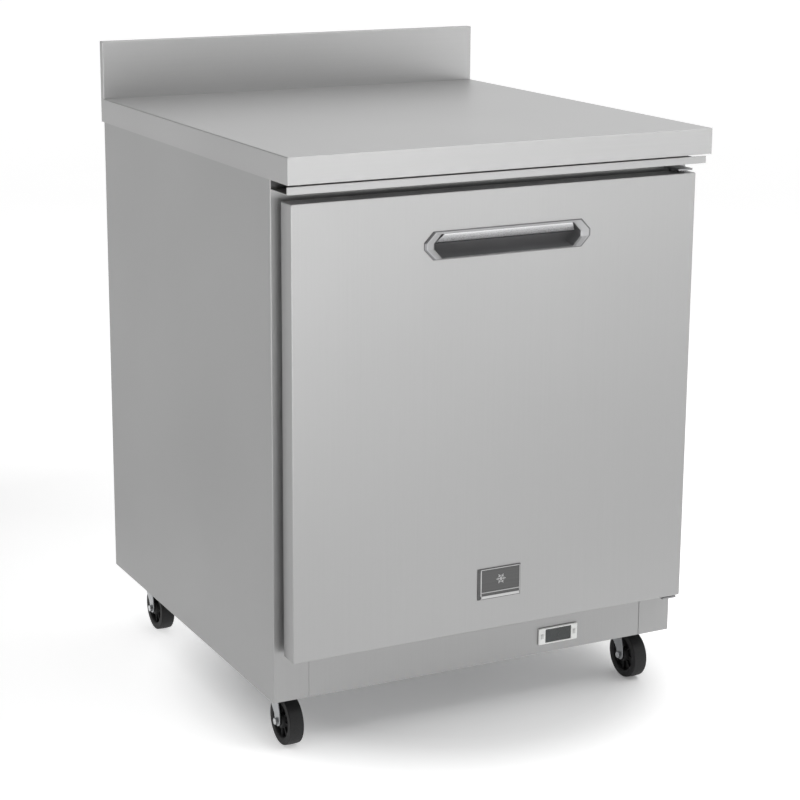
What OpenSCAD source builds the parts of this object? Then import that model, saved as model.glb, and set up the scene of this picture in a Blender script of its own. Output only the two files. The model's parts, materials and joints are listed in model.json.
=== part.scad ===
// One-door worktop refrigerator with a backsplash, on four swivel casters.
// Origin on the floor under the middle of the worktop, +Z up, front towards -Y, millimetres.

/* [Worktop] */
// Width of the worktop
worktop_w = 698.5; // [690:0.5:720]
// Depth of the worktop
worktop_d = 757; // [750:1:790]
// Height of the working surface above the floor
worktop_z = 908; // [900:1:915]
// Height of the folded skirt round the worktop
skirt_h = 39; // [36:1:42]
// Height of the backsplash above the worktop
splash_h = 95; // [60:1:150]
// Thickness of the backsplash channel
splash_t = 14; // [10:1:20]

/* [Cabinet] */
// Thickness of the sheet metal
sheet = 1.2; // [1.0:0.1:1.5]
// Distance of the cabinet front behind the worktop edge
cabinet_setback = 64.2; // [62:0.1:66]
// Distance of the cabinet back in front of the worktop's rear edge
back_overhang = 9.5; // [8:0.5:12]
// Height of the cabinet's bottom edge above the floor
cabinet_z = 89.5; // [88:0.5:91]
// Height of the top of the lower front panel
base_top_z = 165; // [164:0.5:166]

/* [Interior] */
// Half width of the cold space
cold_half_w = 290; // [285:1:292]
// Height of the cold space's floor
cold_floor_z = 182; // [181:1:186]
// Height of the cold space's ceiling
cold_ceiling_z = 816; // [812:1:818]
// Height of the step over the machine space
step_z = 345; // [340:1:350]
// Height of the lower shelf
shelf_low_z = 372; // [366:1:400]
// Height of the upper shelf
shelf_high_z = 574; // [520:1:585]

/* [Door] */
// Width of the door
door_w = 671.2; // [668:0.2:674]
// Height of the door's bottom edge
door_bottom_z = 164.7; // [164:0.1:166]
// Height of the door's top edge
door_top_z = 839.1; // [838:0.1:840]
// Thickness of the door
door_t = 33.6; // [32:0.1:34]
// Gap between the door and the cabinet face
door_gap = 11.1; // [10.8:0.1:12]

/* [Handle and badge] */
// Distance of the handle's middle to the right of the door's middle
handle_x = 11; // [0:1:60]
// Distance of the handle's middle below the worktop
handle_drop = 145; // [135:1:170]
// Width of the handle bezel over its points
handle_w = 278; // [260:1:300]
// Height of the handle bezel
handle_h = 42; // [40:1:46]
// Width of the badge
badge_w = 74; // [40:1:90]
// Height of the badge
badge_h = 49; // [30:1:60]

/* [Controller] */
// Distance of the controller to the right of the middle
control_x = 138.6; // [60:0.1:160]
// Height of the controller's middle
control_z = 117.2; // [116:0.1:120]
// Travel of the controller buttons
button_travel = 0.8; // [0.4:0.1:0.8]

/* [Casters] */
// Radius of the caster wheel
wheel_r = 38.1; // [36:0.1:38.1]
// Width of the caster wheel
wheel_w = 23; // [20:0.5:23]
// Distance of the wheel's axle from the swivel axis
caster_trail = 28; // [20:1:30]
// Distance of the swivel axes from the middle
caster_x = 305; // [300:1:306]
// Distance of the swivel axes in from the cabinet's front and back
caster_inset = 76; // [70:1:85]

/* [Hidden] */
$fn = 48;

steel = "silver";
galvanised = "lightslategray";
black = "#222426";
running = 0.05;             // radial clearance of a running fit
clear = 0.3;                // gap between parts that move past each other

worktop_x = worktop_w / 2;
worktop_y = worktop_d / 2;
skirt_z = worktop_z - skirt_h;

cabinet_x = worktop_x - 1.75;
cabinet_in_x = cabinet_x - sheet;
front_y = -worktop_y + cabinet_setback;
rear_y = worktop_y - back_overhang;
inner_front_y = front_y + sheet;
inner_rear_y = rear_y - sheet;
cabinet_top_z = worktop_z - 28;
corner_flange_x = cabinet_x - 56.5;     // inner edge of the corner flanges beside the lower panel
door_flange_x = cabinet_x - 40;         // inner edge of the side flanges behind the door
header_z = cold_ceiling_z + 17;

base_z = 103;               // underside of the base pan, top of the caster plates
base_t = 1.5;
base_floor_z = base_z + base_t;
foam_z = 135;
liner_front_y = front_y + 13.3;
liner_back_y = 319;
riser_y = 130;
machine_x = 320;
machine_y = 165;
machine_z = 315;

rail_low_z = worktop_z - 54;
rail_high_z = worktop_z - 43;

door_x = door_w / 2;
door_back_y = front_y - door_gap;
door_front_y = door_back_y - door_t;
hinge_x = 320;
hinge_y = (door_front_y + door_back_y) / 2 + 0.7;
hinge_gap = 3;
hinge_plate = 3;
pin_r = 5;
pin_len = 20;
bush_r = 9;
bush_len = 20;
bracket_x0 = 318;
bracket_x1 = 345;

handle_z = worktop_z - handle_drop;
pocket_w = handle_w - 31.6;
pocket_h = handle_h - 4.6;
pocket_depth = 25;
bezel_t = 3;
badge_x = 5;
badge_z = worktop_z - 669.5;

button_x = 29;
button_w = 4.4;
button_h = 7.4;
bezel_w = 70.3;
bezel_h = 27.1;
window_w = 46.9;
window_h = 22.1;
case_y = front_y + 2 + button_travel;   // a pressed button stops 0.4 mm short of the case
panel_cut_w = 64;
panel_cut_h = 23.6;

fan_x = -160;               // condenser fan
fan_z = 195;
evap_fan_x = -110;
evap_fan_z = 695;
shaft_r = 3;
gland_x = 290;
gland_z = 128;

swivel_front_y = front_y + caster_inset;
swivel_rear_y = rear_y - caster_inset;
axle_r = 4;
leg_in = 14;
leg_t = 2.5;
crown_z = 86.7;
cup_z = 92;
plate_z = 100;
plate_hole_x = 22.5;
plate_hole_y = 37.5;
pilaster_front_y = -230;
pilaster_rear_y = 180;

// A box between its lowest and its highest corner
module block(low, high) {
    translate(low)
        cube(high - low);
}

// A plate in the XZ plane with pointed ends; its back face is at y = 0
module pointed_plate(w, h, tip, t) {
    rotate([90, 0, 0])
        linear_extrude(t)
            polygon([
                [-w / 2, 0], [-w / 2 + tip, h / 2], [w / 2 - tip, h / 2],
                [w / 2, 0], [w / 2 - tip, -h / 2], [-w / 2 + tip, -h / 2]
            ]);
}

// A rod along Y that starts at y = 0
module rod_y(r, len) {
    rotate([-90, 0, 0])
        cylinder(r = r, h = len);
}

// A rod along X centred on x = 0
module rod_x(r, len) {
    rotate([0, 90, 0])
        cylinder(r = r, h = len, center = true);
}

// Both mirror images of a right-hand child
module both_sides() {
    children();
    mirror([1, 0, 0])
        children();
}

// Each caster's swivel axis, at floor level
module each_caster() {
    for (x = [-caster_x, caster_x], y = [swivel_front_y, swivel_rear_y])
        translate([x, y, 0])
            children();
}

// Each bolt position of one caster plate
module each_plate_hole() {
    for (x = [-plate_hole_x, plate_hole_x], y = [-plate_hole_y, plate_hole_y])
        translate([x, y, 0])
            children();
}

// ---- worktop ----

module worktop() {
    color(steel)
        difference() {
            block([-worktop_x, -worktop_y, skirt_z], [worktop_x, worktop_y, worktop_z]);
            block(
                [-worktop_x + sheet, -worktop_y + sheet, skirt_z + sheet],
                [worktop_x - sheet, worktop_y - sheet, worktop_z - sheet]
            );
            // the front skirt keeps a folded lip, the rest is open underneath
            block(
                [-worktop_x + sheet, -worktop_y + 16, skirt_z - 1],
                [worktop_x - sheet, worktop_y - sheet, skirt_z + 2]
            );
            // the top sheet stops where the backsplash stands
            block(
                [-worktop_x - 1, worktop_y - splash_t, worktop_z - sheet],
                [worktop_x + 1, worktop_y + 1, worktop_z + 1]
            );
        }
}

module worktop_core() {
    color("burlywood")
        block(
            [-worktop_x + 6, front_y + 2, cabinet_top_z],
            [worktop_x - 6, rear_y - 2, worktop_z - sheet]
        );
}

module backsplash() {
    color(steel)
        difference() {
            block(
                [-worktop_x, worktop_y - splash_t, worktop_z - sheet],
                [worktop_x, worktop_y, worktop_z + splash_h]
            );
            block(
                [-worktop_x + sheet, worktop_y - splash_t + sheet, worktop_z - sheet - 1],
                [worktop_x - sheet, worktop_y - sheet, worktop_z + splash_h - sheet]
            );
        }
}

module front_rail() {
    color(steel)
        difference() {
            block([-346, -worktop_y + 10, rail_low_z], [346, front_y, rail_high_z]);
            block([-347, -worktop_y + 10 + sheet, rail_low_z + sheet], [347, front_y - sheet, rail_high_z - sheet]);
        }
}

// ---- cabinet shell ----

// Right-hand side panel: outer sheet, front corner flange and bottom lip
module side_panel() {
    block([cabinet_in_x, front_y, cabinet_z], [cabinet_x, rear_y, cabinet_top_z]);
    block([door_flange_x, front_y, base_top_z], [cabinet_x, inner_front_y, cabinet_top_z]);
    block([corner_flange_x, front_y, cabinet_z], [cabinet_x, inner_front_y, base_top_z]);
    block([cabinet_x - 13.5, front_y, cabinet_z], [cabinet_x, rear_y, cabinet_z + sheet]);
}

module side_panel_left() {
    color(steel)
        mirror([1, 0, 0])
            side_panel();
}

module side_panel_right() {
    color(steel)
        difference() {
            side_panel();
            each_hinge_screw()
                rod_y(2.5, 20);
        }
}

module back_panel() {
    color(galvanised)
        block([-cabinet_in_x, inner_rear_y, 330], [cabinet_in_x, rear_y, cabinet_top_z]);
}

module base_pan() {
    color(galvanised)
        difference() {
            block([-cabinet_in_x, inner_front_y, base_z], [cabinet_in_x, inner_rear_y, base_floor_z]);
            each_caster()
                each_plate_hole()
                    cylinder(r = 4.2, h = 200);
        }
}

// Bent sheet that walls off the machine space from the foam
module machine_bulkhead() {
    color(galvanised) {
        block([-machine_x, machine_y - sheet, base_floor_z], [machine_x, machine_y, machine_z + sheet]);
        difference() {
            block([-machine_x, machine_y - sheet, machine_z], [machine_x, inner_rear_y, machine_z + sheet]);
            block([22, 320, machine_z - 5], [38, 358, machine_z + 5]);
        }
    }
}

module top_frame() {
    color(galvanised)
        block(
            [-cabinet_in_x, inner_front_y, cabinet_top_z - sheet],
            [cabinet_in_x, inner_rear_y, cabinet_top_z]
        );
    color(steel)
        block([-door_flange_x, front_y, header_z], [door_flange_x, inner_front_y, cabinet_top_z]);
}

module lower_front_panel() {
    edge_x = corner_flange_x - 1.5;
    color(steel)
        difference() {
            union() {
                block([-edge_x, front_y, cabinet_z], [edge_x, inner_front_y, base_top_z]);
                block([-edge_x, front_y, base_top_z - sheet], [edge_x, liner_front_y, base_top_z]);
            }
            translate([control_x, front_y, control_z])
                cube([panel_cut_w, 10, panel_cut_h], center = true);
        }
}

module foam_body() {
    color("khaki")
        difference() {
            block([-cabinet_in_x, liner_front_y, foam_z], [cabinet_in_x, inner_rear_y, cabinet_top_z - sheet]);
            block(
                [-cold_half_w - sheet, liner_front_y - 1, cold_floor_z - sheet],
                [cold_half_w + sheet, riser_y + sheet, cold_ceiling_z + sheet]
            );
            block(
                [-cold_half_w - sheet, riser_y, step_z - sheet],
                [cold_half_w + sheet, liner_back_y + sheet, cold_ceiling_z + sheet]
            );
            block([-machine_x, machine_y - sheet, foam_z - 1], [machine_x, rear_y, machine_z + sheet]);
            block([22, liner_back_y, machine_z], [38, 358, 714]);
        }
}

// Flat liner sheets: two sides that follow the floor's step, back and ceiling
module liner_walls() {
    side_outline = [
        [liner_front_y, cold_floor_z], [riser_y, cold_floor_z], [riser_y, step_z],
        [liner_back_y, step_z], [liner_back_y, cold_ceiling_z], [liner_front_y, cold_ceiling_z]
    ];
    color("whitesmoke") {
        both_sides()
            translate([cold_half_w, 0, 0])
                rotate([90, 0, 90])
                    linear_extrude(sheet)
                        polygon(side_outline);
        difference() {
            block(
                [-cold_half_w, liner_back_y, step_z],
                [cold_half_w, liner_back_y + sheet, cold_ceiling_z]
            );
            translate([30, liner_back_y - 1, 705])
                rod_y(4.5, 5);
        }
        block(
            [-cold_half_w, liner_front_y, cold_ceiling_z],
            [cold_half_w, liner_back_y, cold_ceiling_z + sheet]
        );
    }
}

module liner_floor() {
    color("whitesmoke") {
        block([-cold_half_w, liner_front_y, cold_floor_z - sheet], [cold_half_w, riser_y + sheet, cold_floor_z]);
        block([-cold_half_w, riser_y, cold_floor_z - sheet], [cold_half_w, riser_y + sheet, step_z]);
        block([-cold_half_w, riser_y, step_z - sheet], [cold_half_w, liner_back_y, step_z]);
    }
}

module breaker_strip() {
    color("gainsboro")
        difference() {
            block([-door_flange_x, front_y, base_top_z], [door_flange_x, liner_front_y, header_z]);
            block([-cold_half_w, front_y - 1, cold_floor_z], [cold_half_w, liner_front_y + 1, cold_ceiling_z]);
        }
}

// ---- controller ----

module controller_case() {
    color(black)
        translate([control_x, 0, control_z])
            difference() {
                block([-31, case_y, -11], [31, case_y + 53.2, 11]);
                block([-29.5, case_y + 1.5, -9.5], [29.5, case_y + 51.7, 9.5]);
            }
}

module controller_bezel() {
    color("white")
        translate([control_x, front_y, control_z])
            difference() {
                block([-bezel_w / 2, -3.5, -bezel_h / 2], [bezel_w / 2, 0, bezel_h / 2]);
                block([-window_w / 2, -4, -window_h / 2], [window_w / 2, 1, window_h / 2]);
                for (x = [-button_x, button_x])
                    translate([x, 0, 0])
                        cube([button_w + 2 * clear, 20, button_h + 2 * clear], center = true);
            }
}

module display_window() {
    color(black)
        translate([control_x, front_y, control_z])
            block([-window_w / 2, -2.6, -window_h / 2], [window_w / 2, 2.8, window_h / 2]);
}

module control_button(side) {
    color("lightgray")
        translate([control_x + side * button_x, front_y, control_z])
            block([-button_w / 2, -4.5, -button_h / 2], [button_w / 2, 1.6, button_h / 2]);
}

// ---- refrigeration ----

module compressor() {
    color(black)
        translate([150, 268, 0]) {
            difference() {
                block([-85, -65, 118], [85, 65, 121]);
                for (x = [-72, 72], y = [-52, 52])
                    translate([x, y, 110])
                        cylinder(r = 6, h = 20);
            }
            translate([0, 0, 121])
                rotate_extrude()
                    polygon([
                        [0, 0], [58, 0], [66, 12], [68, 30], [68, 84], [71, 84], [71, 90], [68, 90],
                        for (a = [0:10:90]) [68 * cos(a), 108 + 52 * sin(a)]
                    ]);
            block([-28, -84, 150], [28, -60, 215]);
        }
}

module compressor_grommets() {
    color(black)
        for (x = [-72, 72], y = [-52, 52])
            translate([150 + x, 268 + y, base_floor_z]) {
                cylinder(r = 6, h = 20);
                cylinder(r = 11, h = 118 - base_floor_z);
            }
}

module condenser_coil() {
    color(black)
        difference() {
            block([-270, 300, 108], [-50, 345, 282]);
            for (x = [-262:12:-58]) {
                block([x, 299, 112], [x + 6, 312, 278]);
                block([x, 333, 112], [x + 6, 346, 278]);
            }
        }
}

// Fan motor with its shroud on the condenser and four stand-off arms
module condenser_fan_motor() {
    color(galvanised)
        translate([fan_x, 0, fan_z]) {
            difference() {
                translate([0, 205, 0])
                    rod_y(32, 45);
                translate([0, 228, 0])
                    rod_y(shaft_r + running, 30);
            }
            for (side = [-1, 1]) {
                block([min(side * 30, side * 88), 226, -8], [max(side * 30, side * 88), 229, 8]);
                block([min(side * 85, side * 88), 226, -8], [max(side * 85, side * 88), 300, 8]);
            }
            difference() {
                block([-100, 298.5, -85], [100, 300, 85]);
                translate([0, 290, 0])
                    rod_y(75, 20);
            }
        }
}

// Axial fan about Y: hub, shaft towards the motor and pitched blades
module axial_fan(hub_r, blade_len, blade_w, hub_len, shaft_y, shaft_len) {
    rod_y(hub_r, hub_len);
    translate([0, shaft_y, 0])
        rod_y(shaft_r, shaft_len);
    for (a = [0:72:288])
        rotate([0, a, 0])
            translate([hub_r - 2, hub_len / 2, 0])
                rotate([28, 0, 0])
                    translate([0, -0.75, -blade_w / 2])
                        cube([blade_len, 1.5, blade_w]);
}

module condenser_fan() {
    color("dimgray")
        translate([fan_x, 262, fan_z])
            axial_fan(16, 54, 34, 20, -30, 31);
}

module drain_pan() {
    color(black)
        difference() {
            block([-285, 190, 288], [-35, 350, 308]);
            block([-283, 192, 290], [-37, 348, 309]);
        }
}

// A quarter bend in the XY plane about the origin, from angle a
module bend(radius, r, a) {
    rotate([0, 0, a])
        rotate_extrude(angle = 90)
            translate([radius, 0])
                circle(r = r, $fn = 24);
}

module refrigerant_lines() {
    color("peru") {
        // discharge line: compressor to condenser
        translate([10, 265, 230])
            rotate([0, 90, 0])
                cylinder(r = 3, h = 72);
        translate([10, 280, 230])
            bend(15, 3, 180);
        translate([-5, 280, 230])
            rod_y(3, 27);
        translate([-20, 307, 230])
            bend(15, 3, 0);
        translate([-50, 322, 230])
            rotate([0, 90, 0])
                cylinder(r = 3, h = 30);
        // suction line: evaporator down through the foam to the compressor
        translate([45, 280, 200])
            rotate([0, 90, 0])
                cylinder(r = 4, h = 37.8);
        translate([45, 295, 200])
            bend(15, 4, 180);
        translate([30, 295, 200])
            rod_y(4, 40);
        translate([30, 335, 215])
            rotate([0, -90, 0])
                bend(15, 4, 90);
        translate([30, 350, 215])
            cylinder(r = 4, h = 475);
        translate([30, 335, 690])
            rotate([0, -90, 0])
                bend(15, 4, 0);
        translate([30, 312, 705])
            rod_y(4, 23);
    }
}

module rear_grille() {
    color(galvanised)
        translate([0, rear_y, 0])
            rotate([90, 0, 0])
                linear_extrude(sheet)
                    difference() {
                        translate([-cabinet_in_x, base_floor_z])
                            square([2 * cabinet_in_x, 330 - base_floor_z]);
                        for (x = [-290:115:170], z = [165:14:305])
                            translate([x, z])
                                square([100, 5]);
                        translate([gland_x, gland_z])
                            circle(r = 8);
                        for (x = [-333, 333], z = [125, 220, 315])
                            translate([x, z])
                                circle(r = 2);
                    }
}

module cord_gland() {
    color(black)
        translate([gland_x, 0, gland_z])
            difference() {
                union() {
                    translate([0, rear_y - 10, 0])
                        rod_y(8, 10);
                    translate([0, rear_y, 0])
                        rod_y(12, 4);
                }
                translate([0, rear_y - 20, 0])
                    rod_y(5, 40);
            }
}

module evaporator_housing() {
    front = 240;
    color("whitesmoke")
        difference() {
            block([-215, front, 600], [215, liner_back_y, 790]);
            block([-213.5, front + 1.5, 601.5], [213.5, liner_back_y + 1, 788.5]);
            translate([evap_fan_x, front - 5, evap_fan_z])
                rod_y(62, 10);
            for (x = [0:22:176])
                block([x, 262, 590], [x + 14, 304, 610]);
        }
}

module evaporator_coil() {
    color("silver")
        difference() {
            block([-10, 256, 625], [200, 312, 775]);
            for (x = [-4:12:188])
                block([x, 255, 630], [x + 6, 268, 770]);
        }
}

module evaporator_fan_motor() {
    color(galvanised)
        translate([evap_fan_x, 0, evap_fan_z]) {
            difference() {
                translate([0, 273, 0])
                    rod_y(26, 34);
                translate([0, 272, 0])
                    rod_y(shaft_r + running, 24);
            }
            block([-103.5, 296, -6], [-24, 299, 6]);
            block([24, 296, -6], [95, 299, 6]);
            block([-6, 296, 24], [6, 299, 93.5]);
            block([-6, 296, -93.5], [6, 299, -24]);
        }
}

module evaporator_fan() {
    color("dimgray")
        translate([evap_fan_x, 250, evap_fan_z])
            axial_fan(14, 40, 28, 16, 15, 30);
}

// ---- shelves ----

// Wire shelf: rim, two cross bars and the wires from front to back
module wire_shelf(z) {
    w = 2 * cold_half_w - 20;
    d = 500;
    color("gainsboro")
        translate([-w / 2, -280, z - 6])
            linear_extrude(6) {
                difference() {
                    square([w, d]);
                    translate([6, 6])
                        square([w - 12, d - 12]);
                }
                for (i = [1:21])
                    translate([i * w / 22 - 1.75, 3])
                        square([3.5, d - 6]);
                for (y = [d / 3, 2 * d / 3])
                    translate([3, y - 3])
                        square([w - 6, 6]);
            }
}

// Slotted standards on the side walls
module pilasters() {
    color("silver")
        both_sides()
            for (p = [[pilaster_front_y, 200], [pilaster_rear_y, 355]])
                translate([cold_half_w - 5, p[0], 0])
                    rotate([90, 0, 90])
                        linear_extrude(5)
                            difference() {
                                translate([-9, p[1]])
                                    square([18, 800 - p[1]]);
                                for (z = [p[1] + 20 : 25.4 : 785])
                                    translate([-4, z])
                                        square([8, 3.5]);
                            }
}

module shelf_clips() {
    color("silver")
        both_sides()
            for (y = [pilaster_front_y, pilaster_rear_y], z = [shelf_low_z, shelf_high_z])
                translate([0, y, z - 6]) {
                    block([cold_half_w - 17, -7, -3], [cold_half_w - 5, 7, 0]);
                    block([cold_half_w - 8, -7, -12], [cold_half_w - 5, 7, 0]);
                }
}

// ---- door ----

// Both hinge bush positions: children span z = 0 upwards into the door
module each_hinge() {
    translate([hinge_x, hinge_y, door_bottom_z])
        children();
    translate([hinge_x, hinge_y, door_top_z])
        mirror([0, 0, 1])
            children();
}

module each_hinge_screw() {
    for (z = [door_bottom_z + 10, door_bottom_z + 22, door_top_z - 10, door_top_z - 22])
        translate([332, front_y - hinge_plate, z])
            children();
}

module door_skin() {
    color(steel)
        difference() {
            block([-door_x, door_front_y, door_bottom_z], [door_x, door_back_y, door_top_z]);
            block(
                [-door_x + sheet, door_front_y + sheet, door_bottom_z + sheet],
                [door_x - sheet, door_back_y + 1, door_top_z - sheet]
            );
            translate([handle_x, door_front_y + 5, handle_z])
                pointed_plate(pocket_w, pocket_h, 13, 10);
            each_hinge()
                translate([0, 0, -1])
                    cylinder(r = bush_r, h = 10);
        }
}

module door_liner() {
    color("whitesmoke")
        block(
            [-door_x + sheet, door_back_y - sheet, door_bottom_z + sheet],
            [door_x - sheet, door_back_y, door_top_z - sheet]
        );
}

module door_foam() {
    color("khaki")
        difference() {
            block(
                [-door_x + sheet, door_front_y + sheet, door_bottom_z + sheet],
                [door_x - sheet, door_back_y - sheet, door_top_z - sheet]
            );
            translate([handle_x - pocket_w / 2, door_front_y, handle_z - pocket_h / 2])
                cube([pocket_w, pocket_depth, pocket_h]);
            each_hinge()
                cylinder(r = bush_r, h = bush_len);
        }
}

module door_gasket() {
    color("gray")
        difference() {
            block([-316, door_back_y, 172], [316, front_y - clear, 832]);
            block([-302, door_back_y - 1, 186], [302, front_y, 818]);
        }
}

module door_bushes() {
    color("white")
        each_hinge()
            difference() {
                cylinder(r = bush_r, h = bush_len);
                translate([0, 0, -1])
                    cylinder(r = pin_r + running, h = bush_len + 2);
            }
}

// Pointed frame round the pocket, with the pull lip that hangs from its top edge
module handle_bezel() {
    lip_top = pocket_h / 2 - 1.2;
    color("silver")
        translate([handle_x, door_front_y, handle_z]) {
            difference() {
                pointed_plate(handle_w, handle_h, 15, bezel_t);
                translate([0, 1, 0])
                    pointed_plate(pocket_w - 2.4, pocket_h - 2.4, 13, 10);
            }
            translate([-107, 0, 0])
                rotate([90, 0, 90])
                    linear_extrude(214)
                        polygon([
                            [-bezel_t, lip_top + 1], [-0.2, lip_top + 1], [-0.2, lip_top - 0.3],
                            [9, 3], [6.5, 2], [-bezel_t, lip_top - 1.2]
                        ]);
        }
}

module handle_pocket() {
    color(black)
        translate([handle_x, door_front_y + pocket_depth, handle_z])
            difference() {
                pointed_plate(pocket_w, pocket_h, 13, pocket_depth);
                translate([0, -1.2, 0])
                    pointed_plate(pocket_w - 2.4, pocket_h - 2.4, 13, pocket_depth);
            }
}

module badge_plate() {
    color("silver")
        translate([badge_x, door_front_y, badge_z])
            difference() {
                block([-badge_w / 2, -2, -badge_h / 2], [badge_w / 2, 0, badge_h / 2]);
                block([-badge_w / 2 + 5, -3, -badge_h / 2 + 12], [badge_w / 2 - 5, -1.4, badge_h / 2 - 4]);
            }
}

// Two mirrored brackets with fixed pins: the flange is behind the door, the plate past its edge
module hinge_brackets() {
    color(galvanised)
        difference() {
            each_hinge() {
                translate([-hinge_x, -hinge_y, 0]) {
                    block(
                        [bracket_x0 - 10, hinge_y - 12, -hinge_gap - hinge_plate],
                        [bracket_x1 - 12, front_y, -hinge_gap]
                    );
                    block(
                        [bracket_x0, front_y - hinge_plate, -hinge_gap - hinge_plate],
                        [bracket_x1, front_y, 28]
                    );
                }
                translate([0, 0, -hinge_gap])
                    cylinder(r = pin_r, h = pin_len);
            }
            each_hinge_screw() {
                translate([0, -1, 0])
                    rod_y(2.5, 20);
                translate([0, -1, 0])
                    rod_y(4.5, 2.5);
            }
        }
}

// ---- casters ----

// Plates with the bearing cup that holds the kingpin
module caster_plates() {
    color("silver")
        each_caster()
            difference() {
                union() {
                    translate([-30, -46, plate_z])
                        cube([60, 92, base_z - plate_z]);
                    translate([0, 0, cup_z])
                        cylinder(r = 27, h = plate_z - cup_z);
                }
                translate([0, 0, cup_z - 1])
                    cylinder(r = 6 + running, h = plate_z - cup_z + 1);
                each_plate_hole()
                    translate([0, 0, plate_z - 1])
                        cylinder(r = 4.2, h = 10);
            }
}

// Crown, kingpin and two legs that trail forwards to the axle
module caster_fork() {
    color("silver") {
        translate([0, 0, crown_z])
            cylinder(r = 25, h = cup_z - clear - crown_z);
        translate([0, 0, crown_z])
            cylinder(r = 6, h = plate_z - 1.5 - crown_z);
        for (x = [-leg_in - leg_t, leg_in])
            translate([x, 0, 0])
                rotate([90, 0, 90])
                    linear_extrude(leg_t)
                        difference() {
                            union() {
                                polygon([
                                    [-24, crown_z + 1], [16, crown_z + 1],
                                    [-caster_trail + 9.3, wheel_r - 3.7], [-caster_trail - 10, wheel_r + 0.6]
                                ]);
                                translate([-caster_trail, wheel_r])
                                    circle(r = 10);
                            }
                            translate([-caster_trail, wheel_r])
                                circle(r = axle_r);
                        }
    }
}

module caster_axle() {
    color("gainsboro")
        translate([0, -caster_trail, wheel_r]) {
            rod_x(axle_r, 2 * (leg_in + leg_t) + 1);
            for (side = [-1, 1])
                translate([side * (leg_in + leg_t + 2.25), 0, 0])
                    rotate([0, 90, 0])
                        cylinder(r = 6.5, h = 4.5, center = true, $fn = 6);
        }
}

module caster_wheel() {
    round_r = 3;
    half_w = wheel_w / 2;
    hub_half = half_w + 1.2;
    bore_r = axle_r + running;
    right_half = [
        [bore_r, hub_half], [11, hub_half], [11, 4], [25, 4], [27, half_w],
        for (a = [90:-15:0]) [wheel_r - round_r + round_r * cos(a), half_w - round_r + round_r * sin(a)]
    ];
    left_half = [for (i = [len(right_half) - 1 : -1 : 0]) [right_half[i][0], -right_half[i][1]]];
    color(black)
        translate([0, -caster_trail, wheel_r])
            rotate([0, 90, 0])
                rotate_extrude()
                    polygon(concat(right_half, left_half));
}

module at_caster(side, y) {
    translate([side * caster_x, y, 0])
        children();
}

// ---- fasteners ----

module screws() {
    color("gainsboro") {
        // caster bolts
        each_caster()
            each_plate_hole() {
                translate([0, 0, plate_z - 4])
                    cylinder(r = 6.5, h = 4, $fn = 6);
                translate([0, 0, plate_z - 1])
                    cylinder(r = 4, h = 13);
            }
        // rear grille screws
        for (x = [-333, 333], z = [125, 220, 315])
            translate([x, 0, z]) {
                translate([0, rear_y, 0])
                    rod_y(4.5, 2);
                translate([0, inner_rear_y, 0])
                    rod_y(2, 2);
            }
        // flush hinge screws
        each_hinge_screw() {
            rod_y(2.5, hinge_plate + sheet);
            rod_y(4.5, 1.5);
        }
    }
}

worktop();
worktop_core();
backsplash();
front_rail();
side_panel_left();
side_panel_right();
back_panel();
base_pan();
machine_bulkhead();
top_frame();
lower_front_panel();
foam_body();
liner_walls();
liner_floor();
breaker_strip();
controller_case();
controller_bezel();
display_window();
control_button(-1);  // button_left
control_button(1);  // button_right
compressor();
compressor_grommets();
condenser_coil();
condenser_fan_motor();
condenser_fan();
drain_pan();
refrigerant_lines();
rear_grille();
cord_gland();
evaporator_housing();
evaporator_coil();
evaporator_fan_motor();
evaporator_fan();
wire_shelf(shelf_high_z);  // shelf_upper
wire_shelf(shelf_low_z);  // shelf_lower
pilasters();
shelf_clips();
door_skin();
door_liner();
door_foam();
door_gasket();
door_bushes();
handle_bezel();
handle_pocket();
badge_plate();
hinge_brackets();
screws();
caster_plates();
at_caster(-1, swivel_front_y) caster_fork();  // caster_fork_fl
at_caster(1, swivel_front_y) caster_fork();  // caster_fork_fr
at_caster(-1, swivel_rear_y) caster_fork();  // caster_fork_rl
at_caster(1, swivel_rear_y) caster_fork();  // caster_fork_rr
at_caster(-1, swivel_front_y) caster_axle();  // caster_axle_fl
at_caster(1, swivel_front_y) caster_axle();  // caster_axle_fr
at_caster(-1, swivel_rear_y) caster_axle();  // caster_axle_rl
at_caster(1, swivel_rear_y) caster_axle();  // caster_axle_rr
at_caster(-1, swivel_front_y) caster_wheel();  // caster_wheel_fl
at_caster(1, swivel_front_y) caster_wheel();  // caster_wheel_fr
at_caster(-1, swivel_rear_y) caster_wheel();  // caster_wheel_rl
at_caster(1, swivel_rear_y) caster_wheel();  // caster_wheel_rr
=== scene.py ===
"""Looks of a one-door worktop refrigerator: brushed steel, gasket, handle, controller and casters."""
import json
import math

import bmesh
import bpy
from mathutils import Matrix, Vector


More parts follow.
